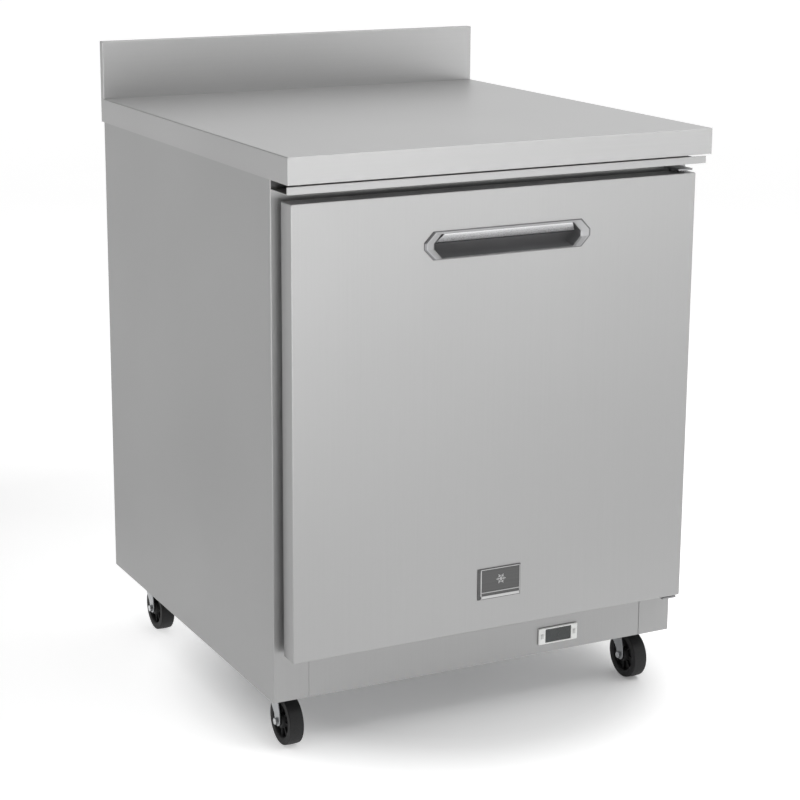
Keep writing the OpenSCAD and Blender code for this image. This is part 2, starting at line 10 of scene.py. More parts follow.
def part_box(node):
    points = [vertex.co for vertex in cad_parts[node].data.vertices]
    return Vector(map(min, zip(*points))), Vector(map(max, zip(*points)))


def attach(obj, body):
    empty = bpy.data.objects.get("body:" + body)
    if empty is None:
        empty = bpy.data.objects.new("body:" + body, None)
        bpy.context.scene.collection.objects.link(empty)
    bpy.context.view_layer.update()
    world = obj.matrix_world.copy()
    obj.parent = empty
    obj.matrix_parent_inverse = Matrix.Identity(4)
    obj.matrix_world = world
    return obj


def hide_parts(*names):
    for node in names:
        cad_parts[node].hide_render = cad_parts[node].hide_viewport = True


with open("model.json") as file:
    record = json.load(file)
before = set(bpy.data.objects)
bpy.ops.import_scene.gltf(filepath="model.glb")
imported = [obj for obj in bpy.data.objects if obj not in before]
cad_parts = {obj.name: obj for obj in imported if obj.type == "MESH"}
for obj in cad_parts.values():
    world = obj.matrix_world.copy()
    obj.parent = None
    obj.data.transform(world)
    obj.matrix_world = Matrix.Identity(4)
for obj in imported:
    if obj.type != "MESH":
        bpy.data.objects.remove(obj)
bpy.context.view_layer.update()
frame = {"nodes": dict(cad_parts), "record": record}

MM = 0.001
SHEET = 1.2 * MM
CASTERS = ("fl", "fr", "rl", "rr")
# where each fan's blades and hub lie along Y
FAN_DEPTH = {"condenser_fan": (262 * MM, 282 * MM), "evaporator_fan": (250 * MM, 266 * MM)}
SLOTS = {s["node"]: s["material_slot"] for s in frame["record"]["subparts"]}

# light of the room: level plus slope along a direction, never below the darkest
ROOM_LEVEL = 0.25
ROOM_SLOPE = (0.66, 0.15, 1.0)
ROOM_DARKEST = 0.04
# glow of the floor: (distance from the centre in metres, strength), and what is added far ahead and behind;
# the glow is painted light, and its low ring under and round the object paints the soft shadow, moved by the
# glow's centre
TOWARDS_FRONT = (-0.5, -0.87, 0)
GLOW_RING = ((0.0, 0.12), (0.3, 0.14), (0.47, 0.64), (0.75, 0.48), (1.3, 0.27), (3.0, 0.2), (9.0, 0.25))
GLOW_CENTRE = (0.05, -0.105, 0)
GLOW_FRONT = 2.25
GLOW_BEHIND = 0.14


# ---- materials

def new_material(name):
    """An empty Principled material: (material, node tree, shader)."""
    material = bpy.data.materials.new(name)
    material.use_nodes = True
    tree = material.node_tree
    shader = tree.nodes["Principled BSDF"]
    return material, tree, shader


def coordinates(tree, scale):
    """Object coordinates, which are metres in the row frame, times scale."""
    source = tree.nodes.new("ShaderNodeTexCoord")
    mapping = tree.nodes.new("ShaderNodeMapping")
    mapping.inputs["Scale"].default_value = scale
    tree.links.new(source.outputs["Object"], mapping.inputs["Vector"])
    return mapping.outputs["Vector"]


def noise_at(tree, scale, detail=3.0, rough=0.5):
    """A noise value between 0 and 1; scale is turns per metre along each axis."""
    texture = tree.nodes.new("ShaderNodeTexNoise")
    texture.inputs["Scale"].default_value = 1.0
    texture.inputs["Detail"].default_value = detail
    texture.inputs["Roughness"].default_value = rough
    tree.links.new(coordinates(tree, scale), texture.inputs["Vector"])
    return texture.outputs["Fac"]


def spread(tree, value, low, high, edge=(0.3, 0.7)):
    """value, from edge[0] to edge[1], spread over low to high."""
    node = tree.nodes.new("ShaderNodeMapRange")
    node.inputs["From Min"].default_value = edge[0]
    node.inputs["From Max"].default_value = edge[1]
    node.inputs["To Min"].default_value = low
    node.inputs["To Max"].default_value = high
    tree.links.new(value, node.inputs["Value"])
    return node.outputs["Result"]


def blend_colours(tree, value, first, second):
    """A colour between first and second."""
    node = tree.nodes.new("ShaderNodeMix")
    node.data_type = "RGBA"
    node.inputs[6].default_value = (*first, 1)
    node.inputs[7].default_value = (*second, 1)
    tree.links.new(value, node.inputs[0])
    return node.outputs[2]


def maths(tree, operation, *values):
    """A Math node's result; each value is a socket or a number."""
    node = tree.nodes.new("ShaderNodeMath")
    node.operation = operation
    for socket, value in zip(node.inputs, values):
        if isinstance(value, bpy.types.NodeSocket):
            tree.links.new(value, socket)
        else:
            socket.default_value = value
    return node.outputs[0]


def measure(tree, operation, vector, other):
    """The number that a Vector Math node gives for a vector socket and a constant vector."""
    node = tree.nodes.new("ShaderNodeVectorMath")
    node.operation = operation
    node.inputs[1].default_value = other
    tree.links.new(vector, node.inputs[0])
    return node.outputs["Value"]


def add_bump(tree, shader, height, strength, distance):
    """Bump from height into the shader's normal."""
    bump = tree.nodes.new("ShaderNodeBump")
    bump.inputs["Strength"].default_value = strength
    bump.inputs["Distance"].default_value = distance
    tree.links.new(height, bump.inputs["Height"])
    tree.links.new(bump.outputs["Normal"], shader.inputs["Normal"])


def brushed_metal(name, tone, rough, grain, tint=(1, 1, 1), metallic=1.0, contrast=0.02, bump=0.03):
    """Brushed sheet metal. grain is the axis that the strokes run along: 0 x, 1 y or 2 z."""
    material, tree, shader = new_material(name)
    fine = [1500, 1500, 1500]
    fine[grain] = 9
    broad = [340, 340, 340]
    broad[grain] = 2.5
    strokes = noise_at(tree, fine, 2.0, 0.6)
    bands = noise_at(tree, broad, 3.0, 0.55)
    cloud = noise_at(tree, (3.1, 3.1, 3.1), 2.0, 0.5)
    both = maths(tree, "MULTIPLY_ADD", bands, 0.45, maths(tree, "MULTIPLY", strokes, 0.55))
    dark = [tone * c * (1 - contrast) for c in tint]
    light = [min(1.0, tone * c * (1 + contrast)) for c in tint]
    tree.links.new(blend_colours(tree, spread(tree, both, 0, 1), dark, light), shader.inputs["Base Color"])
    fine_rough = spread(tree, both, rough - 0.015, rough + 0.015)
    broad_rough = spread(tree, cloud, -0.02, 0.02)
    tree.links.new(maths(tree, "ADD", fine_rough, broad_rough), shader.inputs["Roughness"])
    shader.inputs["Metallic"].default_value = metallic
    add_bump(tree, shader, both, bump, 0.02 * MM)
    return material


def moulded(name, colour, rough, grain_size=900, bump=0.12, metallic=0.0, variation=0.08, coat=0.0):
    """Moulded plastic, rubber or paint with a fine grain and slight blotches."""
    material, tree, shader = new_material(name)
    grain = noise_at(tree, (grain_size,) * 3, 2.0, 0.55)
    blotch = noise_at(tree, (22, 22, 22), 3.0, 0.5)
    dark = [c * (1 - variation) for c in colour]
    light = [min(1.0, c * (1 + variation)) for c in colour]
    tree.links.new(
        blend_colours(tree, spread(tree, blotch, 0, 1), dark, light), shader.inputs["Base Color"]
    )
    tree.links.new(spread(tree, grain, rough - 0.05, rough + 0.05), shader.inputs["Roughness"])
    shader.inputs["Metallic"].default_value = metallic
    shader.inputs["Coat Weight"].default_value = coat
    add_bump(tree, shader, grain, bump, 0.05 * MM)
    return material


def galvanised(name, tone):
    """Zinc-coated sheet with its spangle."""
    material, tree, shader = new_material(name)
    cells = tree.nodes.new("ShaderNodeTexVoronoi")
    cells.inputs["Scale"].default_value = 1.0
    tree.links.new(coordinates(tree, (110, 110, 110)), cells.inputs["Vector"])
    grey = tree.nodes.new("ShaderNodeSeparateColor")
    tree.links.new(cells.outputs["Color"], grey.inputs["Color"])
    value = spread(tree, grey.outputs[0], 0, 1, (0, 1))
    dark = (tone * 0.93, tone * 0.94, tone * 0.95)
    light = (tone * 1.05, tone * 1.06, tone * 1.07)
    tree.links.new(blend_colours(tree, value, dark, light), shader.inputs["Base Color"])
    tree.links.new(spread(tree, grey.outputs[1], 0.40, 0.50, (0, 1)), shader.inputs["Roughness"])
    shader.inputs["Metallic"].default_value = 0.9
    add_bump(tree, shader, noise_at(tree, (300, 300, 300)), 0.06, 0.05 * MM)
    return material


def foam_material(name, colour):
    """Rigid foam with fine open cells."""
    material, tree, shader = new_material(name)
    cells = noise_at(tree, (420, 420, 420), 5.0, 0.65)
    dark = [c * 0.8 for c in colour]
    tree.links.new(blend_colours(tree, spread(tree, cells, 0, 1), dark, colour), shader.inputs["Base Color"])
    tree.links.new(spread(tree, cells, 0.8, 0.95), shader.inputs["Roughness"])
    add_bump(tree, shader, cells, 0.5, 0.6 * MM)
    return material


def board_material(name):
    """Pressed core board with short chips."""
    material, tree, shader = new_material(name)
    chips = noise_at(tree, (60, 240, 240), 4.0, 0.6)
    colours = blend_colours(tree, spread(tree, chips, 0, 1), (0.30, 0.19, 0.10), (0.55, 0.40, 0.24))
    tree.links.new(colours, shader.inputs["Base Color"])
    tree.links.new(spread(tree, chips, 0.7, 0.85), shader.inputs["Roughness"])
    add_bump(tree, shader, chips, 0.3, 0.3 * MM)
    return material


# brushed sheet; the grain's axis is 0 x or 2 z. The worktop, panel and door steel are toned apart partly by
# finish and partly as painted light: the worktop lighter, the side and lower panels darker as painted shade.
BRUSHED = {
    "worktop_steel": {"tone": 0.42, "rough": 0.40, "grain": 0, "metallic": 0.7},
    "panel_steel": {"tone": 0.36, "rough": 0.41, "grain": 2, "metallic": 0.75},
    "door_steel": {"tone": 0.39, "rough": 0.40, "grain": 2, "metallic": 0.8},
    "liner_aluminium": {"tone": 0.80, "rough": 0.45, "grain": 2, "tint": (1, 1.005, 1.01), "metallic": 0.85},
    "fin_aluminium": {"tone": 0.72, "rough": 0.38, "grain": 2},
    "badge_metal": {"tone": 0.50, "rough": 0.30, "grain": 0},
    "badge_field": {"tone": 0.11, "rough": 0.34, "grain": 0, "contrast": 0.1},
}
# plastic, rubber, paint and smooth metal; the grain size is in turns per metre
MOULDED = {
    "breaker_plastic": {"colour": (0.62, 0.63, 0.64), "rough": 0.42},
    "black_plastic": {"colour": (0.022, 0.022, 0.024), "rough": 0.5, "grain_size": 700, "bump": 0.15},
    "bezel_plastic": {
        "colour": (0.90, 0.905, 0.89), "rough": 0.35, "grain_size": 1200, "bump": 0.08, "variation": 0.03,
    },
    "display_plastic": {
        "colour": (0.016, 0.021, 0.021), "rough": 0.2, "grain_size": 60, "bump": 0.02, "variation": 0.5,
        "coat": 0.2,
    },
    "button_plastic": {
        "colour": (0.66, 0.67, 0.66), "rough": 0.45, "grain_size": 1200, "bump": 0.1, "variation": 0.04,
    },
    "compressor_paint": {
        "colour": (0.018, 0.018, 0.020), "rough": 0.33, "grain_size": 500, "bump": 0.15, "variation": 0.15,
        "coat": 0.3,
    },
    "black_rubber": {"colour": (0.016, 0.016, 0.017), "rough": 0.72, "grain_size": 600, "bump": 0.3},
    "copper": {
        "colour": (0.72, 0.36, 0.20), "rough": 0.28, "grain_size": 300, "bump": 0.05, "metallic": 1.0,
        "variation": 0.12,
    },
    "shelf_coating": {
        "colour": (0.74, 0.75, 0.75), "rough": 0.32, "grain_size": 800, "bump": 0.15, "variation": 0.03,
        "coat": 0.4,
    },
    "bright_steel": {
        "colour": (0.60, 0.61, 0.62), "rough": 0.30, "grain_size": 500, "bump": 0.08, "metallic": 1.0,
        "variation": 0.06,
    },
    "gasket_rubber": {"colour": (0.085, 0.087, 0.09), "rough": 0.6, "bump": 0.2},
    "bush_plastic": {"colour": (0.70, 0.70, 0.67), "rough": 0.4},
    "handle_metal": {
        "colour": (0.35, 0.35, 0.355), "rough": 0.38, "bump": 0.05, "metallic": 0.8, "variation": 0.04,
    },
    # a darker copy of the handle metal: painted shade on the bezel's outer chamfer
    "shaded_rim_metal": {
        "colour": (0.2, 0.2, 0.205), "rough": 0.36, "bump": 0.05, "metallic": 0.85, "variation": 0.04,
    },
    # a lighter copy of the handle metal: painted light on the lip's upward face
    "lit_lip_metal": {
        "colour": (0.66, 0.66, 0.67), "rough": 0.3, "bump": 0.04, "metallic": 0.85, "variation": 0.03,
    },
    # lighter than the pocket's black plastic: painted light on the scoop's floor
    "lit_scoop_plastic": {"colour": (0.10, 0.10, 0.103), "rough": 0.55, "grain_size": 700, "bump": 0.06},
    # darker steel for the hinge brackets: painted shade on their edges
    "shaded_hinge_steel": {
        "colour": (0.28, 0.28, 0.285), "rough": 0.4, "grain_size": 400, "bump": 0.08, "metallic": 0.9,
    },
    "caster_zinc": {
        "colour": (0.42, 0.43, 0.44), "rough": 0.36, "grain_size": 260, "bump": 0.1, "metallic": 0.9,
        "variation": 0.10,
    },
    "wheel_rubber": {
        "colour": (0.006, 0.006, 0.0065), "rough": 0.66, "grain_size": 420, "bump": 0.1, "variation": 0.15,
    },
}
SKIN = {name: brushed_metal(name, **values) for name, values in BRUSHED.items()}
SKIN.update({name: moulded(name, **values) for name, values in MOULDED.items()})
SKIN["galvanised_steel"] = galvanised("galvanised_steel", 0.52)
SKIN["core_board"] = board_material("core_board")
SKIN["insulation_foam"] = foam_material("insulation_foam", (0.80, 0.70, 0.42))


# ---- mesh tools

def evaluated_copy(obj):
    """obj's mesh with its modifiers applied."""
    graph = bpy.context.evaluated_depsgraph_get()
    graph.update()
    return bpy.data.meshes.new_from_object(obj.evaluated_get(graph))


def apply_modifiers(obj):
    """Turns obj's modifiers into its mesh."""
    mesh = evaluated_copy(obj)
    obj.modifiers.clear()
    obj.data = mesh


def linked_object(bm, name):
    """Ends a bmesh and links its mesh as an object."""
    mesh = bpy.data.meshes.new(name)
    bm.to_mesh(mesh)
    bm.free()
    obj = bpy.data.objects.new(name, mesh)
    bpy.context.scene.collection.objects.link(obj)
    return obj


def object_from(bm, name):
    """A linked object from a bmesh of closed forms, with its normals outwards."""
    bmesh.ops.recalc_face_normals(bm, faces=bm.faces)
    return linked_object(bm, name)


def add_turned(target, part, matrix):
    """Moves the bmesh part by matrix, adds it to the bmesh target and ends it."""
    bmesh.ops.transform(part, matrix=matrix, verts=part.verts)
    mesh = bpy.data.meshes.new("part")
    part.to_mesh(mesh)
    part.free()
    target.from_mesh(mesh)


def facing_away(obj, centre):
    """How much the faces look away from centre, weighted by area."""
    return sum((p.normal.dot(p.center - centre) * p.area for p in obj.data.polygons), 0.0)


def smooth(obj, angle=32):
    """Smooth shading with sharp edges past angle, and flat faces kept flat beside bevels."""
    mesh = obj.data
    mesh.polygons.foreach_set("use_smooth", [True] * len(mesh.polygons))
    mesh.set_sharp_from_angle(angle=math.radians(angle))
    modifier = obj.modifiers.new("normals", "WEIGHTED_NORMAL")
    modifier.keep_sharp = True
    apply_modifiers(obj)


def piece(obj, body, slot, nodes=(), material=None, angle=32):
    """Dresses obj, puts it on its body and lets it stand for the CAD nodes."""
    obj.data.materials.clear()
    obj.data.materials.append(material or SKIN[slot])
    smooth(obj, angle)
    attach(obj, body)
    if nodes:
        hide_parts(*nodes)
    return obj


def soften(obj, width, segments=2, angle=30):
    """Bevels the edges sharper than angle."""
    modifier = obj.modifiers.new("bevel", "BEVEL")
    modifier.width = width
    modifier.segments = segments
    modifier.limit_method = "ANGLE"
    modifier.angle_limit = math.radians(angle)
    apply_modifiers(obj)


def add_box(bm, low, high):
    """A box between two corners; returns its faces."""
    low, high = Vector(low), Vector(high)
    made = bmesh.ops.create_cube(bm, size=1.0)
    matrix = Matrix.Translation((low + high) / 2) @ Matrix.Diagonal((*(high - low), 1))
    bmesh.ops.transform(bm, matrix=matrix, verts=made["verts"])
    return {f for v in made["verts"] for f in v.link_faces}


def boxes_object(name, boxes, radius=0.0, segments=2):
    """Several separate boxes, given as (low, high) corners, as one object."""
    bm = bmesh.new()
    for low, high in boxes:
        add_box(bm, low, high)
    obj = object_from(bm, name)
    if radius:
        soften(obj, radius, segments)
    return obj


def box_object(name, low, high, radius=0.0, segments=2):
    """One box, its edges rounded where a radius is given."""
    return boxes_object(name, [(low, high)], radius, segments)


def solidify(obj, thickness):
    """Gives an open sheet its thickness, inwards from the drawn side."""
    modifier = obj.modifiers.new("sheet", "SOLIDIFY")
    modifier.thickness = thickness
    modifier.offset = -1.0
    modifier.use_even_offset = True
    apply_modifiers(obj)


def pan(name, low, high, open_side, thickness, radius, segments=4):
    """A folded pan: a box with one open side, rounded outside corners and a wall thickness."""
    bm = bmesh.new()
    faces = add_box(bm, low, high)
    normal = Vector(open_side)
    bmesh.ops.recalc_face_normals(bm, faces=list(faces))
    lid = max(faces, key=lambda f: f.normal.dot(normal))
    rim = set(lid.edges)
    bmesh.ops.delete(bm, geom=[lid], context="FACES_ONLY")
    folds = [e for e in bm.edges if e not in rim]
    bmesh.ops.bevel(
        bm, geom=folds, offset=radius, segments=segments, profile=0.5, affect="EDGES", clamp_overlap=True
    )
    obj = object_from(bm, name)
    # the drawn side is the outside, whichever way the open mesh's normals were guessed
    if facing_away(obj, (Vector(low) + Vector(high)) / 2) < 0:
        obj.data.flip_normals()
    solidify(obj, thickness)
    return obj


def cut(obj, cutter):
    """Takes the cutter's volume out of obj and deletes the cutter."""
    modifier = obj.modifiers.new("cut", "BOOLEAN")
    modifier.operation = "DIFFERENCE"
    modifier.solver = "EXACT"
    modifier.object = cutter
    apply_modifiers(obj)
    bpy.data.objects.remove(cutter, do_unlink=True)


def rounded_path(points, radius, closed=False, steps=5):
    """A 2D path with its corners turned into arcs."""
    out = []
    count = len(points)
    for i, p in enumerate(points):
        p = Vector(p)
        if not closed and i in (0, count - 1):
            out.append(p)
            continue
        before = Vector(points[i - 1]) - p
        after = Vector(points[(i + 1) % count]) - p
        half = before.angle(after) / 2
        reach = min(radius / math.tan(half), before.length * 0.49, after.length * 0.49)
        start = p + before.normalized() * reach
        end = p + after.normalized() * reach
        for k in range(steps + 1):
            t = k / steps
            out.append(start.lerp(p, t).lerp(p.lerp(end, t), t))
    return out


def rectangle(low, high, up, inset):
    """The corners of a box's outline in X and the axis up, in order, moved inwards by inset."""
    x0, z0, x1, z1 = low[0] + inset, low[up] + inset, high[0] - inset, high[up] - inset
    return [(x0, z0), (x1, z0), (x1, z1), (x0, z1)]


def bridge(bm, rows, closed=True, around=False):
    """Faces between rows of vertices; around joins the last row to the first too."""
    count = len(rows[0])
    for one, two in zip(rows, rows[1:] + rows[:1] if around else rows[1:]):
        for k in range(count if closed else count - 1):
            j = (k + 1) % count
            bm.faces.new((one[k], one[j], two[j], two[k]))


def place(axis, along, a, b):
    """A 3D point from a position along axis and the two other coordinates, in X, Y, Z order."""
    rest = [a, b]
    rest.insert(axis, along)
    return Vector(rest)


def bent_sheet(name, path, axis, low, high, thickness, radius):
    """Sheet metal bent along path, a list of 2D points, and as long as low to high along axis."""
    points = rounded_path(path, radius)
    bm = bmesh.new()
    rings = [[bm.verts.new(place(axis, s, *p)) for p in points] for s in (low, high)]
    bridge(bm, rings, closed=False)
    obj = linked_object(bm, name)
    solidify(obj, thickness)
    return obj


def prism(name, outline, axis, low, high):
    """A closed outline of 2D points, extruded along axis."""
    bm = bmesh.new()
    rings = [[bm.verts.new(place(axis, s, *p)) for p in outline] for s in (low, high)]
    bridge(bm, rings)
    bm.faces.new(rings[0])
    bm.faces.new(rings[1])
    return object_from(bm, name)


def add_lathe(bm, profile, centre, axis, segments=48):
    """Revolves (radius, along) points about axis through centre. A closed profile makes a ring."""
    centre = Vector(centre)
    rings = []
    for k in range(segments):
        turn = 2 * math.pi * k / segments
        c, s = math.cos(turn), math.sin(turn)
        rings.append([bm.verts.new(centre + place(axis, along, r * c, r * s)) for r, along in profile])
    bridge(bm, rings, around=True)
    bmesh.ops.remove_doubles(bm, verts=[v for ring in rings for v in ring], dist=1e-6)


def lathe(name, profile, centre, axis, segments=48):
    """A turned form of its own, as add_lathe makes it."""
    bm = bmesh.new()
    add_lathe(bm, profile, centre, axis, segments)
    return object_from(bm, name)


def add_rod(bm, start, end, radius, sides=12):
    """A round bar with slightly rounded ends."""
    start, end = Vector(start), Vector(end)
    length = (end - start).length
    lip = min(radius * 0.35, length * 0.2)
    turn = (end - start).to_track_quat("Z", "Y").to_matrix()
    rings = []
    for r, along in ((radius - lip, 0), (radius, lip), (radius, length - lip), (radius - lip, length)):
        rings.append([
            bm.verts.new(start + turn @ Vector((
                r * math.cos(2 * math.pi * k / sides), r * math.sin(2 * math.pi * k / sides), along
            )))
            for k in range(sides)
        ])
    bridge(bm, rings)
    bm.faces.new(rings[0])
    bm.faces.new(rings[-1])


def frame_sweep(name, profile, low, high, y_zero):
    """Sweeps (inwards, along y) points round a rectangle in the XZ plane, mitred at the corners."""
    bm = bmesh.new()
    corners = [
        (low[0], low[1], 1, 1), (high[0], low[1], -1, 1),
        (high[0], high[1], -1, -1), (low[0], high[1], 1, -1),
    ]
    rings = []
    for x, z, sx, sz in corners:
        rings.append([bm.verts.new((x + sx * u, y_zero + v, z + sz * u)) for u, v in profile])
    bridge(bm, rings, around=True)
    return object_from(bm, name)


def join(name, objects):
    """Joins finished objects of one material into one piece."""
    bm = bmesh.new()
    for o in objects:
        bm.from_mesh(o.data)
        bpy.data.objects.remove(o, do_unlink=True)
    return linked_object(bm, name)


def softened_node(node, body, slot, width, material=None):
    """A CAD node's own shape with its edges broken."""
    source = frame["nodes"][node]
    bm = bmesh.new()
    bm.from_mesh(source.data)
    bmesh.ops.remove_doubles(bm, verts=bm.verts, dist=1e-6)
    bmesh.ops.dissolve_limit(
        bm, angle_limit=math.radians(1), verts=bm.verts, edges=bm.edges, delimit=set()
    )
    obj = object_from(bm, node + "_soft")
    soften(obj, width, angle=35)
    piece(obj, body, slot, [node], material)


# ---- worktop and cabinet

def build_worktop():
    """Worktop and backsplash as folded pans, with the lip under the worktop's front edge."""
    low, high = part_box("worktop")
    top = pan("worktop_skin", low, high, (0, 0, -1), SHEET, 1.6 * MM)
    lip = box_object(
        "lip", (low[0] + 2 * MM, low[1] + SHEET, low[2]),
        (high[0] - 2 * MM, low[1] + 15 * MM, low[2] + SHEET), 0.3 * MM,
    )
    piece(join("worktop_skin", [top, lip]), "cabinet", "worktop_steel", ["worktop"])
    low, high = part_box("backsplash")
    splash = pan("backsplash_skin", low, high, (0, 0, -1), SHEET, 1.6 * MM)
    piece(splash, "cabinet", "worktop_steel", ["backsplash"])


def build_front_rail():
    """Hollow rail under the worktop edge; its top wall stops short of the open ends."""
    low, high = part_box("front_rail")
    x0, y0, z0 = low
    x1, y1, z1 = high
    inset = 24 * MM
    rail = boxes_object("front_rail_tube", [
        ((x0, y0, z0), (x1, y0 + SHEET, z1)),
        ((x0, y0 + SHEET, z0), (x1, y1, z0 + SHEET)),
        ((x0 + inset, y0 + SHEET, z1 - SHEET), (x1 - inset, y1, z1)),
    ], 0.3 * MM)
    piece(rail, "cabinet", "worktop_steel", ["front_rail"])


def build_side_panel(side):
    """Side panel with its corner flange, narrower behind the door than beside the lower panel."""
    node = f"side_panel_{side}"
    low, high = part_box(node)
    sign = -1 if side == "left" else 1
    outer = sign * max(abs(low[0]), abs(high[0]))
    inner = sign * min(abs(low[0]), abs(high[0]))
    path = [(inner, low[1]), (outer, low[1]), (outer, high[1])]
    if sign < 0:
        path.reverse()
    panel = bent_sheet(node + "_sheet", path, 2, low[2], high[2], SHEET, 1.8 * MM)
    door_flange = sign * abs(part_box("breaker_strip")[1][0])
    base_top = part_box("lower_front_panel")[1][2]
    xs = sorted((inner - sign * 5 * MM, door_flange))
    cut(panel, box_object(
        "cutter", (xs[0], low[1] - 5 * MM, base_top), (xs[1], low[1] + 6 * MM, high[2] + 5 * MM)
    ))
    xs = sorted((outer - sign * SHEET, outer - sign * 13.5 * MM))
    lip = box_object("lip", (xs[0], low[1] + 3 * MM, low[2]), (xs[1], high[1], low[2] + SHEET), 0.3 * MM)
    piece(join(node + "_sheet", [panel, lip]), "cabinet", "panel_steel", [node])


def build_lower_panel():
    """Lower front panel with the controller's opening, a top shelf and strips behind its seams."""
    low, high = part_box("lower_front_panel")
    back = low[1] + 9 * MM
    # wider than the CAD panel, so that the seams beside it are as narrow as in the photo
    widening = 1.1 * MM
    low[0] -= widening
    high[0] += widening
    path = [(low[0], back), (low[0], low[1]), (high[0], low[1]), (high[0], back)]
    panel = bent_sheet("lower_panel_sheet", path, 2, low[2], high[2], SHEET, 1.4 * MM)
    middle = [(a + b) / 2 for a, b in zip(*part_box("controller_bezel"))]
    half_width, half_height = 32 * MM, 11.8 * MM
    cut(panel, box_object(
        "cutter", (middle[0] - half_width, low[1] - 5 * MM, middle[2] - half_height),
        (middle[0] + half_width, low[1] + 8 * MM, middle[2] + half_height),
    ))
    shelf = box_object(
        "lip", (low[0] + 2 * MM, low[1] + SHEET, high[2] - SHEET),
        (high[0] - 2 * MM, high[1], high[2]), 0.3 * MM,
    )
    # a strip behind each seam, with a rib that fills the gap to the side panel's flange
    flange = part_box("side_panel_right")[0][0]
    strips = []
    for sign in (-1, 1):
        edge = sign * high[0]
        strips.append((
            (edge - 7 * MM, low[1] + 1.6 * MM, low[2]), (edge + 7 * MM, low[1] + 2.8 * MM, high[2] - 2 * MM),
        ))
        xs = sorted((edge, sign * flange))
        strips.append((
            (xs[0], low[1] + 0.5 * MM, low[2]), (xs[1], low[1] + 1.6 * MM, high[2] - 2 * MM),
        ))
    sheet = join("lower_panel_sheet", [panel, shelf, boxes_object("strips", strips)])
    piece(sheet, "cabinet", "panel_steel", ["lower_front_panel"])


# ---- door

def pointed_outline(centre, width, height, tip):
    """A flat bar's outline with blunt pointed ends, as (x, z) points."""
    cx, cz = centre
    w, h = width / 2, height / 2
    nose = 0.24 * h
    return [
        (cx - w, cz - nose), (cx - w + tip, cz - h), (cx + w - tip, cz - h), (cx + w, cz - nose),
        (cx + w, cz + nose), (cx + w - tip, cz + h), (cx - w + tip, cz + h), (cx - w, cz + nose),
    ]


def build_door():
    """Outer skin with the handle and hinge holes, and the inner panel with its raised field."""
    low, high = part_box("door_skin")
    skin = pan("door_skin_sheet", low, high, (0, 1, 0), SHEET, 1.8 * MM)
    plow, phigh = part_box("handle_pocket")
    centre = ((plow[0] + phigh[0]) / 2, (plow[2] + phigh[2]) / 2)
    hole = pointed_outline(centre, phigh[0] - plow[0], phigh[2] - plow[2], 13 * MM)
    cut(skin, prism("cutter", hole, 1, low[1] - 5 * MM, low[1] + 5 * MM))
    blow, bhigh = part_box("door_bushes")
    axis = ((blow[0] + bhigh[0]) / 2, (blow[1] + bhigh[1]) / 2)
    radius = (bhigh[0] - blow[0]) / 2
    hinge_hole = [(0, -5 * MM), (radius, -5 * MM), (radius, 5 * MM), (0, 5 * MM)]
    for z in (low[2], high[2]):
        cut(skin, lathe("cutter", hinge_hole, (*axis, z), 2))
    piece(skin, "door", "door_steel", ["door_skin"])

    low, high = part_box("door_liner")
    border, slope, field_rise = 46 * MM, 14 * MM, 6 * MM
    bm = bmesh.new()
    rings = []
    for inset, rise in ((0, 0), (border, 0), (border + slope, field_rise)):
        corners = rectangle(low, high, 2, inset)
        rings.append([bm.verts.new((x, high[1] + rise, z)) for x, z in corners])
    bridge(bm, rings)
    bm.faces.new(rings[-1])
    bmesh.ops.recalc_face_normals(bm, faces=bm.faces)
    if sum((f.normal.y * f.calc_area() for f in bm.faces), 0.0) < 0:
        bmesh.ops.reverse_faces(bm, faces=bm.faces)
    inner = linked_object(bm, "door_inner_panel")
    soften(inner, 4 * MM, 4, 10)
    solidify(inner, SHEET)
    piece(inner, "door", "liner_aluminium", ["door_liner"])


def build_gasket():
    """Bellows gasket: a base, a narrow waist and the magnet pocket that meets the cabinet."""
    low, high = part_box("door_gasket")
    width, depth = 14 * MM, high[1] - low[1]
    half = [
        (0.0, 0.0), (0.0, 0.16), (0.14, 0.24), (0.24, 0.34), (0.22, 0.46), (0.06, 0.54),
        (0.0, 0.62), (0.0, 0.90), (0.06, 1.0),
    ]
    profile = [(u * width, v * depth) for u, v in half]
    profile += [(width - u * width, v * depth) for u, v in reversed(half)]
    gasket = frame_sweep("gasket_bellows", profile, (low[0], low[2]), (high[0], high[2]), low[1])
    piece(gasket, "door", "gasket_rubber", ["door_gasket"], angle=50)


def pointed_ring(name, sections):
    """A closed ring with pointed ends, through outlines given as centre, width, height, tip and y."""
    bm = bmesh.new()
    rings = []
    for middle, width, height, tip, y in sections:
        rings.append([bm.verts.new((x, y, z)) for x, z in pointed_outline(middle, width, height, tip)])
    bridge(bm, rings, around=True)
    ring = object_from(bm, name)
    soften(ring, 0.3 * MM, 2, 8)
    return ring


